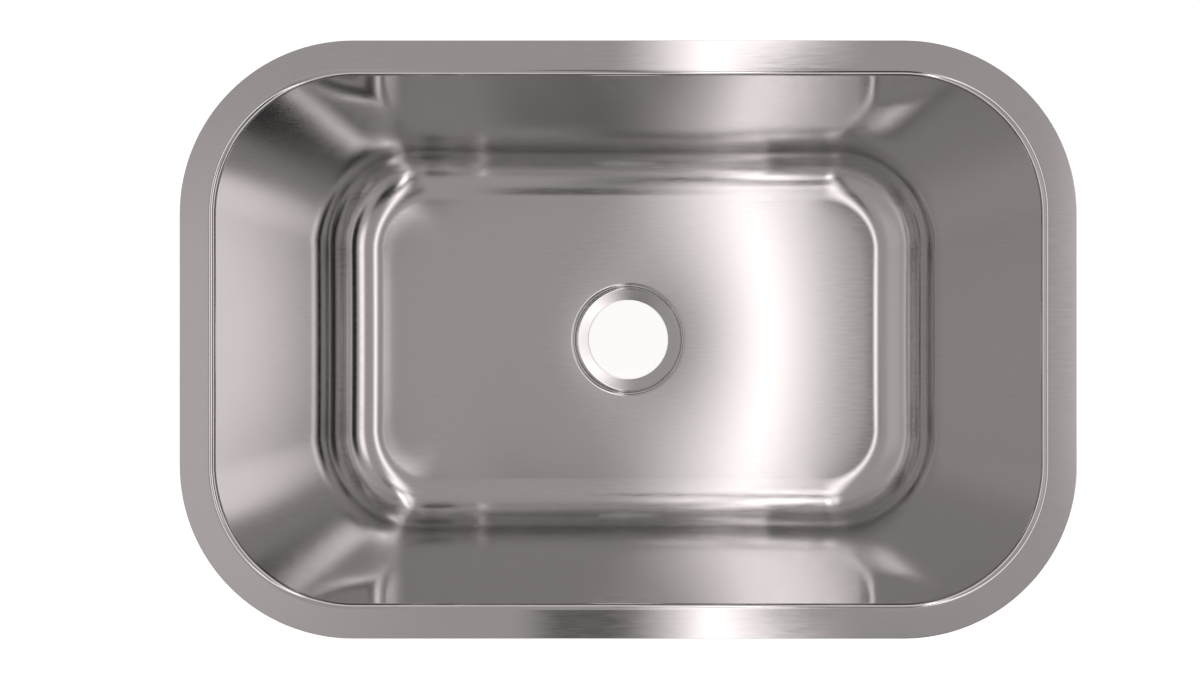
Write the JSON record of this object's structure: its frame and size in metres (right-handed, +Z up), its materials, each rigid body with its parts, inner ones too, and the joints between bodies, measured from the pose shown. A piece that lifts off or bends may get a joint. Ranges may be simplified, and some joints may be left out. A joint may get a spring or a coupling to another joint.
{
  "type": "undermount kitchen sink",
  "caption": "Single-bowl undermount kitchen sink in drawn satin steel with rounded corners, a flat flange, a recessed drain seat, and a sprayed undercoat with rubber sound pads outside.",
  "frame": {"origin": "centre of the drain hole, level with the lowest edge of the sheet, on which the sink stands", "axes": "+X along the long side, +Y to the back, +Z up towards the open rim"},
  "size_m": [0.6858, 0.4572, 0.239],
  "materials": {
    "satin_steel": "satin, brushed along the sheet before pressing",
    "undercoat": "sprayed, finely pebbled",
    "pad_rubber": "matt, moulded ribs"
  },
  "bodies": {
    "root": {"bowl": "satin_steel", "undercoat": "undercoat", "floor_pad_left": "pad_rubber", "floor_pad_right": "pad_rubber", "front_pad_left": "pad_rubber", "front_pad_right": "pad_rubber", "back_pad_left": "pad_rubber", "back_pad_right": "pad_rubber", "end_pad_left": "pad_rubber", "end_pad_right": "pad_rubber"}
  },
  "joints": []
}
